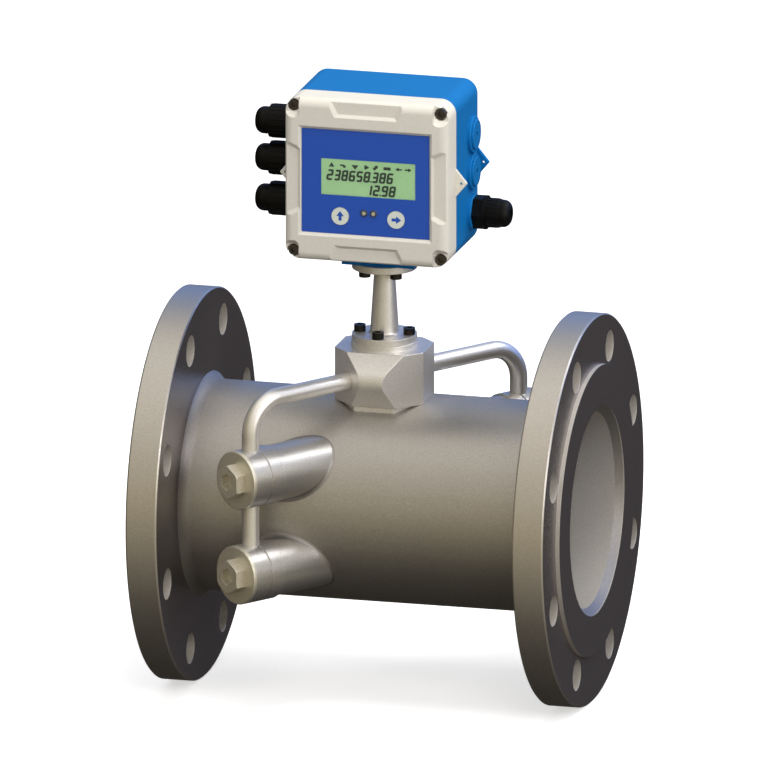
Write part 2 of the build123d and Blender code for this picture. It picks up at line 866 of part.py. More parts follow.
def pillars():
    """Four hexagon pillars that carry the main board, with a tapped end."""
    solids = []
    seat_y = main_board_y + board_thickness
    for x, z in corners(main_hole_x, main_hole_z):
        outline = Pos(x, z) * RegularPolygon(pillar_flats / 2, 6, major_radius=False)
        bar = slab(outline, seat_y, base_floor_y)
        bar -= pin(x, z, board_screw_d + 2 * screw_thread_gap, seat_y, seat_y + board_screw_grip)
        solids.append(bar)
    return group(solids)


def board_screw(x, z, seat_y, facing):
    """Small screw with a round head: facing is -1 towards the reader and 1 away."""
    head = sorted((seat_y, seat_y + facing * board_screw_head_height))
    shank = sorted((seat_y, seat_y - facing * (board_thickness + board_screw_grip - board_screw_end_gap)))
    return pin(x, z, board_screw_head_d, *head) + pin(x, z, board_screw_d, *shank)


def board_screws():
    """Screws of the display board and of the main board."""
    back = board_y + board_thickness
    screws = [board_screw(x, z, back, 1) for x, z in corners(board_hole_x, board_hole_z)]
    screws += [board_screw(x, z, main_board_y, -1) for x, z in corners(main_hole_x, main_hole_z)]
    return group(screws)


def terminal_blocks():
    """Two rows of terminals on the main board's front."""
    return group(
        slab(Pos(0, z) * Rectangle(terminal_width, terminal_height), main_board_y - terminal_depth,
             main_board_y)
        for z in terminal_rows)


# Cable glands and blanking plugs, built along their own axis and then placed

def gland_body(plane, port_d, flats, neck_d, neck_length):
    """Gland body: thread into the port, hexagon and the neck that carries the cap nut."""
    inside = port_boss_height + housing_wall + gland_thread_inside
    body = rod(plane, port_d - 2 * gland_thread_gap, -inside, 0)
    body += hex_bar(plane, flats, 0, gland_hex_length, gland_hex_turn)
    body += rod(plane, neck_d, gland_hex_length, gland_hex_length + neck_length)
    return body - rod(plane, gland_cable_d + 2 * gland_wall, -inside, gland_hex_length + neck_length)


def gland_cap(plane, steps, neck_d, neck_length):
    """Domed cap nut from (length, diameter) steps, hollow over the neck and open at its tip."""
    start = gland_hex_length
    points = [(gland_cable_d / 2, start)]
    z = start
    for length, diameter in steps:
        points += [(diameter / 2, z), (diameter / 2, z + length)]
        z += length
    points.append((gland_cable_d / 2, z))
    section = make_face(Plane.XZ * Polyline(*points, close=True))
    tip = section.vertices().sort_by(Axis.Z)[-2:].sort_by(Axis.X)[-1]
    body = revolve(fillet(tip, gland_tip_round), Axis.Z)
    body -= rod(Plane.XY, neck_d + 2 * gland_thread_gap, start, start + neck_length)
    seal_d = gland_seal_d(neck_d)
    body -= rod(Plane.XY, seal_d + 2 * gland_thread_gap, start + neck_length,
                start + neck_length + gland_seal_length)
    return plane * body


def gland_seal_d(neck_d):
    """Outer diameter of a gland's rubber seal."""
    return neck_d - gland_wall


def gland_seal(plane, neck_d, neck_length):
    """Rubber sleeve between the neck and the cap nut's tip."""
    start = gland_hex_length + neck_length
    sleeve = rod(plane, gland_seal_d(neck_d), start, start + gland_seal_length)
    return sleeve - rod(plane, gland_cable_d, start, start + gland_seal_length)


def blanking_plug(plane):
    """Flat plug with a socket, screwed into a spare port."""
    inside = port_boss_height + housing_wall
    head = rod(Plane.XY, blank_head_d, 0, blank_head_thickness)
    rim = head.edges().filter_by(GeomType.CIRCLE).sort_by(Axis.Z)[-1]
    body = chamfer(rim, blank_edge_break) + rod(Plane.XY, port_d_right - 2 * gland_thread_gap, -inside, 0)
    top = blank_head_thickness
    return plane * (body - hex_bar(Plane.XY, blank_socket_flats, top - blank_socket_depth, top))


left_steps = ((gland_left_cap_length, gland_left_cap_d), (gland_left_tip_length, gland_left_tip_d))
right_steps = (
    (gland_right_collar_length, gland_right_collar_d),
    (gland_right_cap_length, gland_right_cap_d),
    (gland_right_tip_length, gland_right_tip_d),
)


def gland_set(side, height):
    """Sizes of one gland: plane, port, hexagon, cap steps, neck diameter and neck length."""
    plane = port_plane(side, height)
    port_d = port_d_left if side < 0 else port_d_right
    flats = gland_left_hex if side < 0 else gland_right_hex
    steps = left_steps if side < 0 else right_steps
    neck_d = steps[-1][1] - 2 * gland_wall
    neck_length = sum(length for length, diameter in steps) - gland_tip_round - gland_seal_length
    return plane, port_d, flats, steps, neck_d, neck_length


# Every node of the assembly by its name
nodes = {
    "measuring_pipe": measuring_pipe(),
    "outlet_flange": flange(),
    "inlet_flange": mirror(flange(), about=Plane.YZ),
    "flange_welds": flange_welds(),
    "junction_block": junction_block(),
    "post": post(),
    "lower_post_screws": post_screws(lower_screw_circle_d, 0, post_foot_z, 1),
    "upper_post_screws": post_screws(upper_screw_circle_d, 45, post_neck_z, -1),
    "housing_base": housing_base(),
    "housing_lid": housing_lid(),
    "lid_gasket": lid_gasket(),
    "lid_screws": lid_screws(),
    "front_panel": front_panel(),
    "display_window": window_block(panel_front_y, panel_seat_y),
    "display_module": display_module(),
    "display_board": display_board(),
    "key_up": key(key_x[0]),
    "key_right": key(key_x[1]),
    "key_switches": key_switches(),
    "indicator_lights": indicator_lights(),
    "main_board": main_board(),
    "board_pillars": pillars(),
    "board_screws": board_screws(),
    "terminal_blocks": terminal_blocks(),
}

seals = []
saddle_welds = []
for side, side_name in ((-1, "front"), (1, "rear")):
    for level, level_name in ((1, "upper"), (-1, "lower")):
        own_plane = sensor_plane(side, level)
        own_name = f"{side_name}_{level_name}"
        nodes[f"pocket_{own_name}"] = pocket(own_plane)
        nodes[f"collar_{own_name}"] = collar(own_plane, (1, -1) if level > 0 else (1,))
        nodes[f"cap_{own_name}"] = cap(own_plane)
        nodes[f"sensor_{own_name}"] = sensor(own_plane)
        seals.append(seal_ring(own_plane))
        saddle_welds.append(saddle_weld(own_plane))
    nodes[f"link_tube_{side_name}"] = link_tube(side)
    nodes[f"elbow_tube_{side_name}"] = elbow_tube(side)
nodes["cap_seals"] = group(seals)
nodes["pocket_welds"] = group(saddle_welds)

gland_seals = []
for own_name, side, height in (
        ("left_lower", -1, port_lower), ("left_middle", -1, port_middle), ("left_upper", -1, port_upper),
        ("right", 1, port_lower)):
    own_plane, port_d, flats, steps, neck_d, neck_length = gland_set(side, height)
    nodes[f"gland_body_{own_name}"] = gland_body(own_plane, port_d, flats, neck_d, neck_length)
    nodes[f"gland_cap_{own_name}"] = gland_cap(own_plane, steps, neck_d, neck_length)
    gland_seals.append(gland_seal(own_plane, neck_d, neck_length))
nodes["gland_seals"] = group(gland_seals)
nodes["blanking_plug_middle"] = blanking_plug(port_plane(1, port_middle))
nodes["blanking_plug_upper"] = blanking_plug(port_plane(1, port_upper))

os.makedirs("parts", exist_ok=True)
for name, shape in nodes.items():
    export_step(shape, f"parts/{name}.step")
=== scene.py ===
from math import cos, pi, radians, sin

import bpy
from mathutils import Matrix, Vector


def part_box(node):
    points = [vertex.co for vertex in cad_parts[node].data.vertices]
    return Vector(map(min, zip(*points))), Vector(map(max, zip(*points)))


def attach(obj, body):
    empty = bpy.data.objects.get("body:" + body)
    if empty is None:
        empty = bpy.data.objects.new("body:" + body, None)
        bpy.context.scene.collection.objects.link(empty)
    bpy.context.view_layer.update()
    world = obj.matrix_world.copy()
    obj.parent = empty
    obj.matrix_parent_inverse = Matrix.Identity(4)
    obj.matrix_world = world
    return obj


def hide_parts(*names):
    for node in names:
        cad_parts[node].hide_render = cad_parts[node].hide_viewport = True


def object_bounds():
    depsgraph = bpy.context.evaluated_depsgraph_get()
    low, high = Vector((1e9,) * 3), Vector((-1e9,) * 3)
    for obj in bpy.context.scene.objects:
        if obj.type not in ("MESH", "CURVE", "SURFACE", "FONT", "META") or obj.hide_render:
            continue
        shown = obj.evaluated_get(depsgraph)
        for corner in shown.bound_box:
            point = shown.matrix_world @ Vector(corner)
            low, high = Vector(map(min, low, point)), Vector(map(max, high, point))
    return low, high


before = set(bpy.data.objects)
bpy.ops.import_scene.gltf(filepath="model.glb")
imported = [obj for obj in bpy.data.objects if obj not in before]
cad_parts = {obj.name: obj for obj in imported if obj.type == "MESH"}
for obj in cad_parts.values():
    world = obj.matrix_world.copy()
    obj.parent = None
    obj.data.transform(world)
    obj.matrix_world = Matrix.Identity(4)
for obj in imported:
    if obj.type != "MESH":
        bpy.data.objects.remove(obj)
cad_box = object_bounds()

# Camera: a long lens seen as parallel lines, a little from the right and from above.
# The picture's middle lies above the pipe's axis, so that the meter fills the frame.
TURN = radians(14.9)
RISE = radians(15.1)
PICTURE_WIDTH = 0.5532
PICTURE_RAISE = 0.0806
PICTURE_SHIFT = -0.0004
CAMERA_DISTANCE = 2.0
CAMERA_REACH = 20

picture_right = Vector((cos(TURN), sin(TURN), 0))
towards_camera = Vector((sin(TURN) * cos(RISE), -cos(TURN) * cos(RISE), sin(RISE)))
picture_up = towards_camera.cross(picture_right)
lens = bpy.data.cameras.new("camera")
lens.type = "ORTHO"
lens.ortho_scale = PICTURE_WIDTH
lens.clip_end = CAMERA_REACH
camera = bpy.data.objects.new("camera", lens)
bpy.context.scene.collection.objects.link(camera)
middle = picture_up * PICTURE_RAISE + picture_right * PICTURE_SHIFT
camera.location = middle + towards_camera * CAMERA_DISTANCE
camera.rotation_euler = Matrix((picture_right, picture_up, towards_camera)).transposed().to_euler()
bpy.context.scene.camera = camera
bpy.context.scene.view_settings.view_transform = "Standard"


# Studio: a pale floor under the flanges, a white room and soft lamps, most of them from above.
# What the steel mirrors is a darker room: near black below and pale above, olive at the left, and
# cool behind, which gives the upper edges of the steel their blue.
def colour(text):
    """sRGB hex to linear, with full opacity."""
    parts = [int(text[i:i + 2], 16) / 255 for i in (1, 3, 5)]
    return [((c + 0.055) / 1.055) ** 2.4 if c > 0.04045 else c / 12.92 for c in parts] + [1.0]


def node(tree, kind, links=(), stops=(), **settings):
    """Adds a shader node: links as (input, source socket), the stops of a colour ramp as
    (place, hex colour), and settings by attribute or input name."""
    item = tree.nodes.new(kind)
    for key, value in settings.items():
        if hasattr(item, key):
            setattr(item, key, value)
        else:
            item.inputs[key.replace("_", " ")].default_value = value
    for key, source in links:
        tree.links.new(source, item.inputs[key])
    if stops:
        band = item.color_ramp.elements
        while len(band) < len(stops):
            band.new(0.5)
        for element, (place, text) in zip(band, stops):
            element.position = place
            element.color = colour(text)
    return item


def deselect():
    """Object mode with nothing selected."""
    if bpy.context.object and bpy.context.object.mode != "OBJECT":
        bpy.ops.object.mode_set(mode="OBJECT")
    bpy.ops.object.select_all(action="DESELECT")


def seen_by_camera(tree, ray):
    """1 for what the camera sees, directly or through glass, and 0 for all other rays."""
    return node(tree, "ShaderNodeMath", [
        (0, ray.outputs["Is Camera Ray"]), (1, ray.outputs["Is Transmission Ray"])],
        operation="MAXIMUM").outputs[0]


ROOM_LEVEL = 0.6
MIRRORED_LEVEL = 1.7
BACK_FROM_Y = -0.1
BACK_FULL_Y = 0.45
world = bpy.data.worlds.new("white room")
bpy.context.scene.world = world
world.use_nodes = True
sky = world.node_tree
sky.nodes.clear()
way = node(sky, "ShaderNodeTexCoord")
axes = node(sky, "ShaderNodeSeparateXYZ", [(0, way.outputs["Generated"])])
height = node(sky, "ShaderNodeMapRange", [(0, axes.outputs["Z"])], From_Min=-1.0, From_Max=1.0)
front_room = node(sky, "ShaderNodeValToRGB", [("Fac", height.outputs[0])], stops=[
    (0.0, "#302d29"), (0.10, "#48443c"), (0.20, "#746f63"), (0.37, "#a09986"),
    (0.50, "#c3b99b"), (0.77, "#dedad3"), (0.93, "#fcf8f4"), (1.0, "#ffffff")])
back_room = node(sky, "ShaderNodeValToRGB", [("Fac", height.outputs[0])], stops=[
    (0.0, "#2a2826"), (0.40, "#383536"), (0.46, "#41434b"), (0.54, "#4f7fd0"),
    (0.72, "#7092d4"), (0.86, "#a0aac1"), (0.95, "#dcdad8"), (1.0, "#ffffff")])
behind = node(sky, "ShaderNodeMapRange", [(0, axes.outputs["Y"])],
              From_Min=BACK_FROM_Y, From_Max=BACK_FULL_Y, interpolation_type="SMOOTHSTEP")
round_room = node(sky, "ShaderNodeMix", [
    ("Factor", behind.outputs[0]), (6, front_room.outputs[0]), (7, back_room.outputs[0])],
    data_type="RGBA")
sideways = node(sky, "ShaderNodeMapRange", [(0, axes.outputs["X"])], From_Min=-1.0, From_Max=1.0)
side_tint = node(sky, "ShaderNodeValToRGB", [("Fac", sideways.outputs[0])], stops=[
    (0.0, "#77724f"), (0.2, "#9f9a7c"), (0.36, "#dddbd8"), (0.56, "#dfdedc"),
    (0.68, "#ffffff"), (0.9, "#f6f6f6")])
tinted_room = node(sky, "ShaderNodeMix", [(6, round_room.outputs[2]), (7, side_tint.outputs[0])],
                   data_type="RGBA", blend_type="MULTIPLY")
tinted_room.inputs["Factor"].default_value = 1.0
ray = node(sky, "ShaderNodeLightPath")
mirrored_room = node(sky, "ShaderNodeBackground", [("Color", tinted_room.outputs[2])],
                     Strength=MIRRORED_LEVEL)
lit_room = node(sky, "ShaderNodeBackground", Color=colour("#f6f6f8"), Strength=ROOM_LEVEL)
seen_room = node(sky, "ShaderNodeBackground", Color=colour("#ffffff"), Strength=1.0)
unseen_room = node(sky, "ShaderNodeMixShader", [
    (0, ray.outputs["Is Glossy Ray"]), (1, lit_room.outputs[0]), (2, mirrored_room.outputs[0])])
room = node(sky, "ShaderNodeMixShader", [
    (0, seen_by_camera(sky, ray)), (1, unseen_room.outputs[0]), (2, seen_room.outputs[0])])
node(sky, "ShaderNodeOutputWorld", [("Surface", room.outputs[0])])

FLOOR_SIZE = 8
FLOOR_GAP = 0.0002
FLOOR_GLOW = 0.55
deselect()
bpy.ops.mesh.primitive_plane_add(size=FLOOR_SIZE, location=(0, 0, cad_box[0][2] - FLOOR_GAP))
floor = bpy.context.object
floor.name = "floor"
floor_paint = bpy.data.materials.new("pale floor")
floor_paint.use_nodes = True
tree = floor_paint.node_tree
tree.nodes.clear()
ray = node(tree, "ShaderNodeLightPath")
matt = node(tree, "ShaderNodeBsdfDiffuse", Color=colour("#f4f4f4"))
glow = node(tree, "ShaderNodeEmission", Color=colour("#ffffff"), Strength=FLOOR_GLOW)
seen_floor = node(tree, "ShaderNodeAddShader", [(0, matt.outputs[0]), (1, glow.outputs[0])])
dull_floor = node(tree, "ShaderNodeBsdfDiffuse", Color=colour("#6a655d"))
solid_floor = node(tree, "ShaderNodeMixShader", [
    (0, seen_by_camera(tree, ray)), (1, dull_floor.outputs[0]), (2, seen_floor.outputs[0])])
open_floor = node(tree, "ShaderNodeBsdfTransparent")
through = node(tree, "ShaderNodeMixShader", [
    (0, ray.outputs["Is Glossy Ray"]), (1, solid_floor.outputs[0]), (2, open_floor.outputs[0])])
node(tree, "ShaderNodeOutputMaterial", [("Surface", through.outputs[0])])
floor.data.materials.append(floor_paint)


def lamp(name, place, target, size, power, tint="#ffffff", mirrored=False):
    """Round soft lamp: most are kept out of reflections, which come from the room."""
    light = bpy.data.lights.new(name, "AREA")
    light.shape = "DISK"
    light.size = size
    light.energy = power
    light.color = colour(tint)[:3]
    item = bpy.data.objects.new(name, light)
    bpy.context.scene.collection.objects.link(item)
    item.location = place
    item.rotation_euler = (Vector(target) - Vector(place)).to_track_quat("-Z", "Y").to_euler()
    item.visible_glossy = mirrored


lamp("top_lamp", place=(0.15, -0.25, 1.75), target=(0, 0, 0.2), size=0.9, power=11)
lamp("front_lamp", place=(0.55, -1.45, 1.15), target=(0, 0, 0.1), size=1.0, power=9, tint="#fff8ee")
lamp("right_lamp", place=(1.45, -0.75, 0.6), target=(0, 0, 0.1), size=0.8, power=9, tint="#f6f8ff",
     mirrored=True)
lamp("edge_lamp", place=(0.95, 0.6, 1.3), target=(0, 0, 0.05), size=0.8, power=8, mirrored=True)


# Measuring pipe: seamless stainless tube, bead blasted after welding. Blasting leaves an even warm
# grey with a grain of about 0.4 mm and no direction of its own, drawn a little coarser so that it
# shows, which makes the pipe look matt and heavy. The bore is left as rolled, duller and flatter.
BLAST_GRAIN = 0.0007
BLAST_DEPTH = 0.00006
STEEL_METALLIC = 0.85
PIPE_ROUGHNESS = 0.42
BORE_R = 0.0725
BORE_METALLIC = 0.1
BORE_ROUGHNESS = 0.55


def surface(name, base, roughness, metallic=0.0):
    """New node material: returns it with its tree, its shader and its Object coordinates."""
    item = bpy.data.materials.new(name)
    item.use_nodes = True
    tree = item.node_tree
    shader = tree.nodes["Principled BSDF"]
    shader.inputs["Base Color"].default_value = colour(base)
    shader.inputs["Roughness"].default_value = roughness
    shader.inputs["Metallic"].default_value = metallic
    place = node(tree, "ShaderNodeTexCoord").outputs["Object"]
    return item, tree, shader, place


def speckle(tree, shader, place, base, shade, grain):
    """Mottles the colour between two tones with a grain of a real size in metres, and returns
    the grain for the relief."""
    noise = node(tree, "ShaderNodeTexNoise", [("Vector", place)],
                 Scale=1 / grain, Detail=3.0, Roughness=0.6)
    tones = node(tree, "ShaderNodeValToRGB", [("Fac", noise.outputs["Fac"])],
                 stops=[(0.35, shade), (0.65, base)])
    tree.links.new(tones.outputs["Color"], shader.inputs["Base Color"])
    return noise.outputs["Fac"]


def relief(tree, shader, source, depth, edge=0.0):
    """Bump of a real depth in metres over softened edges of a real radius."""
    bump = node(tree, "ShaderNodeBump", [("Height", source)], Strength=1.0, Distance=depth)
    if edge:
        rounded = node(tree, "ShaderNodeBevel", samples=6, Radius=edge)
        tree.links.new(rounded.outputs["Normal"], bump.inputs["Normal"])
    tree.links.new(bump.outputs["Normal"], shader.inputs["Normal"])


def dress(names, paint):
    """Gives CAD nodes a material in place of their first one."""
    for name in names:
        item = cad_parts[name]
        item.data.materials.clear()
        item.data.materials.append(paint)


def within_radius(tree, place, radius):
    """1 nearer to the pipe's axis than the radius, 0 further out."""
    parts = node(tree, "ShaderNodeSeparateXYZ", [(0, place)])
    flat = node(tree, "ShaderNodeCombineXYZ", [
        ("Y", parts.outputs["Y"]), ("Z", parts.outputs["Z"])])
    reach = node(tree, "ShaderNodeVectorMath", [(0, flat.outputs[0])], operation="LENGTH")
    near = node(tree, "ShaderNodeMath", [(0, reach.outputs["Value"])], operation="LESS_THAN")
    near.inputs[1].default_value = radius
    return near.outputs[0]


pipe_steel, tree, shader, place = surface(
    "bead blasted stainless tube", "#b9b5af", PIPE_ROUGHNESS, STEEL_METALLIC)
grain = speckle(tree, shader, place, "#b9b5af", "#a29e98", BLAST_GRAIN)
relief(tree, shader, grain, BLAST_DEPTH)
in_bore = within_radius(tree, place, BORE_R)
metal = node(tree, "ShaderNodeMapRange", [(0, in_bore)], To_Min=STEEL_METALLIC, To_Max=BORE_METALLIC)
dullness = node(tree, "ShaderNodeMapRange", [(0, in_bore)],
                To_Min=PIPE_ROUGHNESS, To_Max=BORE_ROUGHNESS)
tree.links.new(metal.outputs[0], shader.inputs["Metallic"])
tree.links.new(dullness.outputs[0], shader.inputs["Roughness"])
dress(["measuring_pipe"], pipe_steel)


# Flanges: forged stainless rings, turned all over, drilled and welded to the ends of the pipe. The
# rims and hole walls are pale satin steel. The flat faces have fine turning grooves and mirror the low
# back of the room; their colour is also painted darker than the rims, a painted shade, so that they
# stand out nearly black beside the pipe.
GROOVE_PITCH = 0.0012
GROOVE_DEPTH = 0.00004
WAVE_PER_METRE = 2 * pi / 20
FLANGE_EDGE = 0.0008
RIM_INSIDE = 0.140
RIM_ROUGHNESS = 0.36
FACE_ROUGHNESS = 0.27
FACE_METALLIC = 0.9
HOLE_METALLIC = 0.25
FLAT_NORMAL = 0.95
flange_steel, tree, shader, place = surface(
    "turned flange steel", "#aaa59c", RIM_ROUGHNESS, STEEL_METALLIC)
normal = node(tree, "ShaderNodeTexCoord").outputs["Normal"]
across = node(tree, "ShaderNodeSeparateXYZ", [(0, normal)])
flatness = node(tree, "ShaderNodeMath", [(0, across.outputs["X"])], operation="ABSOLUTE")
is_face = node(tree, "ShaderNodeMath", [(0, flatness.outputs[0])], operation="GREATER_THAN")
is_face.inputs[1].default_value = FLAT_NORMAL
noise = node(tree, "ShaderNodeTexNoise", [("Vector", place)],
             Scale=1 / BLAST_GRAIN, Detail=3.0, Roughness=0.6)
rim_tone = node(tree, "ShaderNodeValToRGB", [("Fac", noise.outputs["Fac"])],
                stops=[(0.35, "#aea9a1"), (0.65, "#c2bdb5")])
# Painted shade: the flat faces, found by their normal, get a darker tone than the rims of the same
# steel.
face_painted_shade_tone = node(tree, "ShaderNodeValToRGB", [("Fac", noise.outputs["Fac"])],
                 stops=[(0.35, "#8e8786"), (0.65, "#9d9695")])
tone = node(tree, "ShaderNodeMix", [
    ("Factor", is_face.outputs[0]), (6, rim_tone.outputs[0]), (7, face_painted_shade_tone.outputs[0])],
    data_type="RGBA")
in_hole = node(tree, "ShaderNodeMath", [
    (0, within_radius(tree, place, RIM_INSIDE)), (1, is_face.outputs[0])],
    operation="SUBTRACT", use_clamp=True)
outer_metal = node(tree, "ShaderNodeMapRange", [(0, is_face.outputs[0])],
                   To_Min=STEEL_METALLIC, To_Max=FACE_METALLIC)
metal = node(tree, "ShaderNodeMath", [(0, in_hole.outputs[0]), (2, outer_metal.outputs[0])],
             operation="MULTIPLY_ADD")
metal.inputs[1].default_value = HOLE_METALLIC - STEEL_METALLIC
dullness = node(tree, "ShaderNodeMapRange", [(0, is_face.outputs[0])],
                To_Min=RIM_ROUGHNESS, To_Max=FACE_ROUGHNESS)
tree.links.new(tone.outputs[2], shader.inputs["Base Color"])
tree.links.new(metal.outputs[0], shader.inputs["Metallic"])
tree.links.new(dullness.outputs[0], shader.inputs["Roughness"])
rings = node(tree, "ShaderNodeTexWave", [("Vector", place)], wave_type="RINGS",
             rings_direction="X", Scale=WAVE_PER_METRE / GROOVE_PITCH)
marks = node(tree, "ShaderNodeMix", [
    ("Factor", is_face.outputs[0]), ("A", noise.outputs["Fac"]), ("B", rings.outputs["Fac"])])
relief(tree, shader, marks.outputs[0], GROOVE_DEPTH, FLANGE_EDGE)
dress(["inlet_flange", "outlet_flange"], flange_steel)


# Weld beads: TIG fillets that hold flanges and pockets to the pipe, ground smooth and blasted over.
# They are duller than the pipe, and their colour is painted a little darker, a painted shade for the
# seams, so the seams show softly.
def blasted_steel(name, base, shade, roughness, edge, metallic=STEEL_METALLIC):
    """Blasted steel with its grain, and its edges softened by a real radius."""
    item, tree, shader, place = surface(name, base, roughness, metallic)
    grain = speckle(tree, shader, place, base, shade, BLAST_GRAIN)
    relief(tree, shader, grain, BLAST_DEPTH, edge)
    return item


# Painted shade: the weld colour is darker than the pipe's, standing in for the shade along the seams.
weld_steel_painted_shade = blasted_steel("ground weld steel with painted shade", "#9c9895", "#86827f", roughness=0.48, edge=0.0)
dress(["flange_welds", "pocket_welds"], weld_steel_painted_shade)


# Pockets, collars and caps: turned stainless, blasted with the pipe. The pockets are welded on, a
# collar stands on each one's end and a cap closes it. Turning before the blast leaves them
# smoother than the pipe, so they take a brighter highlight; the caps are a little warmer.
fitting_steel = blasted_steel(
    "blasted turned stainless", "#cbc8c3", "#b4b1ac", roughness=0.36, edge=0.0006)
cap_steel = blasted_steel(
    "turned cap steel", "#e4dece", "#ccc7b7", roughness=0.4, edge=0.0005, metallic=0.75)
for kind, paint in (("pocket_", fitting_steel), ("collar_", fitting_steel), ("cap_", cap_steel)):
    dress([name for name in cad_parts
           if name.startswith(kind) and name.endswith(("_upper", "_lower"))], paint)


# Conduit tubes: drawn stainless tube, bent cold and pushed into the collars and the block.
# They are only lightly blasted, so they stay shiny, with a bright line along each bend.
tube_steel, tree, shader, place = surface(
    "drawn stainless tube", "#ebe8e4", roughness=0.38, metallic=0.82)
grain = speckle(tree, shader, place, "#ebe8e4", "#dedbd7", BLAST_GRAIN)
relief(tree, shader, grain, depth=0.00002)
dress([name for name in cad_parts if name.startswith(("link_tube", "elbow_tube"))], tube_steel)


# Junction block and post: investment castings in stainless steel, screwed together.
# They are blasted like the pipe, but paler, and the soft edges of the casting catch the light.
block_steel = blasted_steel(
    "cast stainless steel", "#e6e3de", "#d0ccc7", roughness=0.4, edge=0.0009, metallic=0.7)
dress(["junction_block", "post"], block_steel)


# Screws of the post: steel socket heads that hold the post between the block and the housing.
# Their black oxide is near black with a dull shine, so they stand out from the steel.
black_oxide, tree, shader, place = surface(
    "black oxide screws", "#2a2827", roughness=0.38, metallic=0.8)
grain = speckle(tree, shader, place, "#34312f", "#1c1b1a", grain=0.0008)
relief(tree, shader, grain, depth=0.00002, edge=0.0003)
dress(["lower_post_screws", "upper_post_screws"], black_oxide)


# Housing base: die cast aluminium with its foot and port bosses, in blue polyester powder coat.
# The coat has a fine orange peel of about 1.5 mm, which keeps its shine soft and even.
PEEL_GRAIN = 0.0015


def powder_coat(name, base, shade, roughness):
    """Satin powder coat with its orange peel."""
    item, tree, shader, place = surface(name, base, roughness)
    shader.inputs["Specular IOR Level"].default_value = 0.1
    grain = speckle(tree, shader, place, base, shade, PEEL_GRAIN)
    relief(tree, shader, grain, depth=0.00003, edge=0.0007)
    return item


blue_coat = powder_coat("blue powder coat", "#1070b4", "#0f6bad", roughness=0.45)
dress(["housing_base", "blanking_plug_middle", "blanking_plug_upper"], blue_coat)


# Lid: die cast aluminium in off-white powder coat, held to the base by a screw at each corner.
# The same orange peel as on the base makes its rounded front look smooth and slightly soft.
white_coat = powder_coat("off-white powder coat", "#e0dcd0", "#dbd7cb", roughness=0.4)
dress(["housing_lid"], white_coat)


# Lid and board screws: steel socket heads, zinc plated. Those of the lid go through it into the
# base's columns. The zinc is drawn dark, so only the heads' edges shine.
zinc, tree, shader, place = surface("zinc plated steel", "#5c5955", roughness=0.3, metallic=1.0)
grain = speckle(tree, shader, place, "#625f5b", "#4b4845", grain=0.0006)
relief(tree, shader, grain, depth=0.00002, edge=0.0003)
dress(["lid_screws", "board_screws"], zinc)


# Front panel: polycarbonate film, printed blue from behind and glued into the lid's recess.
# Its satin grain, drawn at twice its 0.3 mm so that it shows, gives a deep and even blue.
film_blue, tree, shader, place = surface("printed blue film", "#224fb4", roughness=0.45)
grain = speckle(tree, shader, place, "#2452b8", "#2050b0", grain=0.0006)
relief(tree, shader, grain, depth=0.00001)
dress(["front_panel"], film_blue)


# Display: a reflective liquid crystal on its board, behind a thin clear acrylic window. The paper-like
# reflector makes its grey-green a little uneven, and the window only adds a faint shine.
WINDOW_GAP = 0.0002
WINDOW_EDGE = 0.00015
crystal_green, tree, shader, place = surface("reflective liquid crystal", "#9ab98f", roughness=0.35)
grain = speckle(tree, shader, place, "#9cbb91", "#95b48b", grain=0.0009)
relief(tree, shader, grain, depth=0.00001)
dress(["display_module"], crystal_green)

window_low, window_high = (Vector(corner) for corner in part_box("display_window"))
window_mid = (window_low + window_high) / 2
window_mid.y -= WINDOW_GAP / 2
window_size = window_high - window_low
window_size.y -= WINDOW_GAP
deselect()
bpy.ops.mesh.primitive_cube_add(size=1, location=window_mid)
window = bpy.context.object
window.name = "window_pane"
window.scale = window_size
bpy.ops.object.transform_apply(location=True, rotation=True, scale=True)
rounding = window.modifiers.new("edges", "BEVEL")
rounding.width = WINDOW_EDGE
rounding.segments = 2
bpy.ops.object.modifier_apply(modifier=rounding.name)
clear, tree, shader, place = surface("clear window acrylic", "#f4fbf2", roughness=0.05)
shader.inputs["Transmission Weight"].default_value = 1.0
shader.inputs["IOR"].default_value = 1.1
window.data.materials.append(clear)
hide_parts("display_window")
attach(window, "meter")


# Signs on the display: digits of seven slanted bars and a row of plain small signs, which are the
# dark segments of the liquid crystal. They lie just in front of it and look like flat matt ink.
SIGN_Y = window_high.y - WINDOW_GAP - 0.00005
SIGN_SCALE = 1.35
SIGN_ROW_DROP = 0.0048
SQUARE = 2 ** 0.5
DIGIT_SLANT = 0.16
DIGIT_WIDTH_OF_PITCH = 0.58
BAR_OF_HEIGHT = 0.24
BAR_OVERLAP = 0.45
BAR_CORNER = 0.36
DOT_SIZE = 0.0017
DOT_BACK_OF_PITCH = 0.13
DOT_STEP_OF_PITCH = 0.12
SEGMENTS = {
    "0": "abcdef", "1": "bc", "2": "abdeg", "3": "abcdg", "4": "bcfg", "5": "acdfg",
    "6": "acdefg", "7": "abc", "8": "abcdefg", "9": "abcdfg"}
# Each number: its text, its place from the window's left and top edge, its height and its pitch.
NUMBERS = (
    ("238658.386", 0.0046, 0.0087, 0.0066, 0.0055),
    ("12.98", 0.0335, 0.0184, 0.0066, 0.0056))
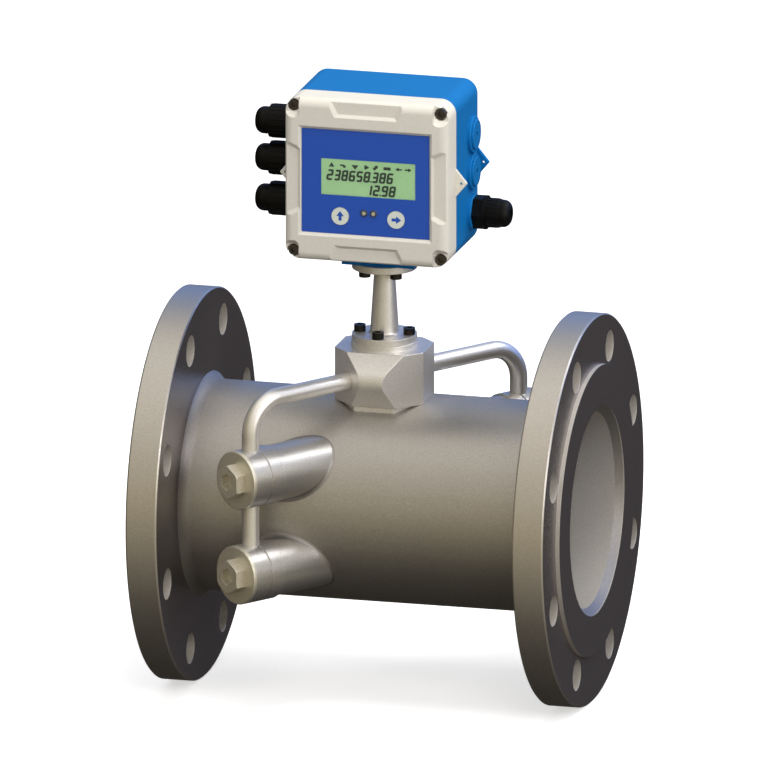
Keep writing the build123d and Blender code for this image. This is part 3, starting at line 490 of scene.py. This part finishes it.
# Each sign: its place from the window's left edge, and its shapes as corners, turn, place and size.
SMALL_SIGNS = (
    (0.0077, ((3, 0, 0, 0.0, 0.0036, 0.0034),)),
    (0.0162, ((4, pi / 4, -0.0008, 0.0004, 0.0028, 0.0014), (6, 0, 0.0009, -0.0004, 0.0018, 0.0018))),
    (0.0251, ((3, pi, 0, 0.0, 0.0046, 0.0034),)),
    (0.0337, ((3, pi / 2, 0, 0.0, 0.0032, 0.0032), (4, pi / 4, -0.0010, 0.0, 0.0014, 0.0026))),
    (0.0403, ((6, 0, 0.0007, 0.0007, 0.0020, 0.0020), (4, 0, -0.0006, -0.0006, 0.0022, 0.0022))),
    (0.0490, ((4, pi / 4, 0, 0.0, 0.0056, 0.0024),)),
    (0.0576, ((3, -pi / 2, -0.0008, 0.0, 0.0026, 0.0026), (4, pi / 4, 0.0010, 0.0, 0.0034, 0.0011))),
    (0.0648, ((3, pi / 2, 0.0008, 0.0, 0.0026, 0.0026), (4, pi / 4, -0.0010, 0.0, 0.0034, 0.0011))))


def flat_shape(sides, middle, size, turn=0.0, y=SIGN_Y):
    """Adds a flat polygon that faces the reader, sized in metres across X and Z."""
    deselect()
    bpy.ops.mesh.primitive_circle_add(
        vertices=sides, radius=0.5, fill_type="NGON", rotation=(pi / 2, turn, 0))
    item = bpy.context.object
    bpy.ops.object.transform_apply(location=False, rotation=True, scale=False)
    item.scale = (size[0], 1, size[1])
    bpy.ops.object.transform_apply(location=False, rotation=False, scale=True)
    item.location = (middle[0], y, middle[1])
    bpy.ops.object.transform_apply(location=True, rotation=False, scale=False)
    return item


def join(parts, name, paint):
    """Joins shapes into one piece with one material."""
    deselect()
    for item in parts:
        item.select_set(True)
    bpy.context.view_layer.objects.active = parts[0]
    bpy.ops.object.join()
    piece = bpy.context.object
    piece.name = name
    bpy.ops.object.transform_apply(location=True, rotation=True, scale=True)
    piece.data.materials.clear()
    piece.data.materials.append(paint)
    return piece


def bar(middle, length, thickness, upright):
    """One bar of a digit: a flat strip with cut corners."""
    size = (thickness, length) if upright else (length, thickness)
    item = flat_shape(4, middle, (size[0] * SQUARE, size[1] * SQUARE), pi / 4)
    bpy.ops.object.mode_set(mode="EDIT")
    bpy.ops.mesh.select_all(action="SELECT")
    bpy.ops.mesh.bevel(offset=thickness * BAR_CORNER, affect="VERTICES", segments=1)
    bpy.ops.object.mode_set(mode="OBJECT")
    return item


def digit(text, left, bottom, width, tall):
    """Bars of one digit, slanted to the right as on the real display."""
    thick = tall * BAR_OF_HEIGHT
    half = tall / 2
    places = {
        "a": (width / 2, tall, False), "g": (width / 2, half, False), "d": (width / 2, 0, False),
        "f": (0, half * 1.5, True), "b": (width, half * 1.5, True),
        "e": (0, half * 0.5, True), "c": (width, half * 0.5, True)}
    parts = []
    for letter in SEGMENTS[text]:
        x, z, upright = places[letter]
        length = (half if upright else width) + thick * BAR_OVERLAP
        item = bar((left + x + z * DIGIT_SLANT, bottom + z), length, thick, upright)
        base = item.data.vertices[0].co.z
        for vertex in item.data.vertices:
            vertex.co.x += (vertex.co.z - base) * DIGIT_SLANT
        parts.append(item)
    return parts


ink, tree, shader, place = surface("dark crystal segments", "#1d261d", roughness=0.5)
speckle(tree, shader, place, "#202a20", "#1a221a", grain=0.0006)
signs = []
for text, first_u, top_v, tall, pitch in NUMBERS:
    left = window_low.x + first_u
    bottom = window_high.z - top_v - tall
    for letter in text:
        if letter == ".":
            dot_middle = (left - pitch * DOT_BACK_OF_PITCH, bottom)
            signs.append(flat_shape(4, dot_middle, (DOT_SIZE, DOT_SIZE), pi / 4))
            left += pitch * DOT_STEP_OF_PITCH
            continue
        signs += digit(letter, left, bottom, pitch * DIGIT_WIDTH_OF_PITCH, tall)
        left += pitch
for first_u, shapes in SMALL_SIGNS:
    for sides, turn, x, z, wide, tall in shapes:
        sign_middle = (window_low.x + first_u + x, window_high.z - SIGN_ROW_DROP + z)
        signs.append(flat_shape(sides, sign_middle, (wide * SIGN_SCALE, tall * SIGN_SCALE), turn))
display_signs = join(signs, "display_signs", ink)
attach(display_signs, "meter")


# Keys: moulded white ABS caps that slide in the lid, each with a blue arrow printed on its face.
# The plastic is an even satin white, and the arrow has the same blue as the panel.
ARROW_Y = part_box("key_up")[0][1] - 0.00006
HEAD_RISE = 0.0014
HEAD_SIZE = (0.0066, 0.0050)
SHAFT_RISE = -0.0012
SHAFT_SIZE = (0.0032, 0.0056)
key_white, tree, shader, place = surface("moulded white ABS", "#d6dcd1", roughness=0.4)
speckle(tree, shader, place, "#e2e8dd", "#dbe1d6", grain=0.001)
dress(["key_up", "key_right"], key_white)

for name, turn in (("key_up", 0.0), ("key_right", pi / 2)):
    low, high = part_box(name)
    head = flat_shape(3, (0, HEAD_RISE), HEAD_SIZE, y=ARROW_Y)
    shaft = flat_shape(4, (0, SHAFT_RISE), SHAFT_SIZE, pi / 4, y=ARROW_Y)
    arrow = join([head, shaft], name.replace("key", "arrow"), film_blue)
    deselect()
    arrow.select_set(True)
    arrow.rotation_euler = (0, turn, 0)
    arrow.location = ((low[0] + high[0]) / 2, 0, (low[2] + high[2]) / 2)
    bpy.context.view_layer.objects.active = arrow
    bpy.ops.object.transform_apply(location=True, rotation=True, scale=True)
    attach(arrow, name)


# Indicator lights: clear acrylic light guides, each in a dark snap-in rim on the panel.
# The guides look pale and slightly yellow when off, and the rims draw a thin dark ring round them.
RIM_RING_R = 0.00200
RIM_WIRE_R = 0.00062
RIM_INSET = 0.002
light_clear, tree, shader, place = surface("clear light guide", "#cfccb0", roughness=0.25)
speckle(tree, shader, place, "#d2cfb4", "#bdb99d", grain=0.0012)
dress(["indicator_lights"], light_clear)

rim_dark, tree, shader, place = surface("dark moulded rim", "#3d4250", roughness=0.5)
speckle(tree, shader, place, "#424757", "#363b48", grain=0.0008)
lights_low, lights_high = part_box("indicator_lights")
rims = []
for x in (lights_low[0] + RIM_INSET, lights_high[0] - RIM_INSET):
    deselect()
    bpy.ops.mesh.primitive_torus_add(
        major_radius=RIM_RING_R, minor_radius=RIM_WIRE_R, major_segments=40, minor_segments=14,
        location=(x, lights_low[1], (lights_low[2] + lights_high[2]) / 2), rotation=(pi / 2, 0, 0))
    bpy.ops.object.shade_smooth()
    rims.append(bpy.context.object)
light_rims = join(rims, "light_rims", rim_dark)
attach(light_rims, "meter")


# Cable glands: moulded black polyamide, a hexagon body screwed into the housing and a domed cap nut
# with grip ribs. The moulds are finely spark eroded, so the black is deep with a soft shine.
RIB_COUNT = 20
RIB_WIDTH = 0.0012
RIB_HEIGHT = 0.0012
RIB_PROUD = 0.0003
RIB_EDGE = 0.0004
gland_black, tree, shader, place = surface("black polyamide", "#040404", roughness=0.5)
shader.inputs["Specular IOR Level"].default_value = 0.15
grain = speckle(tree, shader, place, "#050505", "#020202", grain=0.0009)
relief(tree, shader, grain, depth=0.00003, edge=0.0005)
dress([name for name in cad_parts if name.startswith(("gland_body", "gland_cap"))], gland_black)


def gland_ribs(name, start_x, end_x, radius):
    """Row of rounded ribs round a gland's cap nut, parallel with its axis."""
    low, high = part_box(f"gland_cap_{name}")
    deselect()
    bpy.ops.mesh.primitive_cube_add(size=1)
    pattern = bpy.context.object
    pattern.scale = (abs(end_x - start_x), RIB_WIDTH, RIB_HEIGHT)
    pattern.location = ((start_x + end_x) / 2, 0, radius + RIB_PROUD - RIB_HEIGHT / 2)
    bpy.ops.object.transform_apply(location=True, rotation=True, scale=True)
    soft = pattern.modifiers.new("soft", "BEVEL")
    soft.width = RIB_EDGE
    soft.segments = 2
    bpy.ops.object.modifier_apply(modifier=soft.name)
    ribs = []
    for index in range(RIB_COUNT):
        deselect()
        pattern.select_set(True)
        bpy.context.view_layer.objects.active = pattern
        bpy.ops.object.duplicate()
        rib = bpy.context.object
        rib.rotation_euler = (2 * pi * index / RIB_COUNT, 0, 0)
        rib.location = (0, (low[1] + high[1]) / 2, (low[2] + high[2]) / 2)
        bpy.ops.object.transform_apply(location=True, rotation=True, scale=True)
        ribs.append(rib)
    bpy.data.objects.remove(pattern)
    piece = join(ribs, f"gland_ribs_{name}", gland_black)
    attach(piece, "meter")


for name in ("left_lower", "left_middle", "left_upper"):
    inner_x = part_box(f"gland_cap_{name}")[1][0]
    gland_ribs(name, start_x=inner_x - 0.0020, end_x=inner_x - 0.0170, radius=0.01215)
inner_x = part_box("gland_cap_right")[0][0]
gland_ribs("right", start_x=inner_x + 0.0028, end_x=inner_x + 0.0110, radius=0.0105)


# Rubber: the gasket of the lid, the rings of the caps and the sleeves of the glands, all moulded in
# nitrile and squeezed in place. It is matt and almost black, with hardly any highlight.
rubber, tree, shader, place = surface("nitrile rubber", "#171717", roughness=0.75)
grain = speckle(tree, shader, place, "#1b1b1b", "#131313", grain=0.001)
relief(tree, shader, grain, depth=0.00002)
dress(["lid_gasket", "cap_seals", "gland_seals"], rubber)


# Inside the housing: two glass fibre boards with a green solder mask, the main one on pillars.
# The weave shows faintly through the mask, drawn at 1 mm between threads, coarser than it is.
WEAVE_PITCH = 0.0010
board_green, tree, shader, place = surface("solder mask on glass fibre", "#1f5a36", roughness=0.35)
weave = node(tree, "ShaderNodeTexWave", [("Vector", place)], bands_direction="X",
             Scale=WAVE_PER_METRE / WEAVE_PITCH)
tones = node(tree, "ShaderNodeValToRGB", [("Fac", weave.outputs["Fac"])],
             stops=[(0.2, "#1b5231"), (0.8, "#23633c")])
tree.links.new(tones.outputs["Color"], shader.inputs["Base Color"])
relief(tree, shader, weave.outputs["Fac"], depth=0.00001)
dress(["display_board", "main_board"], board_green)


# Terminal rows: moulded green polyamide, set on the main board and soldered from behind.
# It is a plain satin green, a little paler than the board, so the rows read at a glance.
terminal_green, tree, shader, place = surface("green polyamide", "#2f7d4a", roughness=0.45)
grain = speckle(tree, shader, place, "#33824e", "#2a7444", grain=0.001)
relief(tree, shader, grain, depth=0.00002, edge=0.0004)
dress(["terminal_blocks"], terminal_green)


# Pillars: hexagon brass bar, sawn and tapped, that stand between the housing and the main board.
# Drawn brass is bright and yellow, slightly mottled where it was handled.
pillar_brass, tree, shader, place = surface("drawn brass", "#c8a45f", roughness=0.3, metallic=1.0)
grain = speckle(tree, shader, place, "#cda966", "#b8944f", grain=0.0008)
relief(tree, shader, grain, depth=0.00002, edge=0.0003)
dress(["board_pillars"], pillar_brass)


# Key switches: small dome switches in black moulded cases, soldered on the display board.
# The cases are satin black with soft edges.
switch_black, tree, shader, place = surface("black moulded switch", "#1b1b1b", roughness=0.45)
grain = speckle(tree, shader, place, "#1f1f1f", "#171717", grain=0.0008)
relief(tree, shader, grain, depth=0.00002, edge=0.0003)
dress(["key_switches"], switch_black)


# Sensors: ultrasonic transducers in turned grey PEEK cases, one in the bore of each pocket.
# The plastic is matt and slightly mottled, so it looks dense and plain beside the steel.
peek, tree, shader, place = surface("turned grey PEEK", "#8a8678", roughness=0.5)
grain = speckle(tree, shader, place, "#8f8b7d", "#827e70", grain=0.001)
relief(tree, shader, grain, depth=0.00003)
dress([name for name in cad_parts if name.startswith("sensor_")], peek)
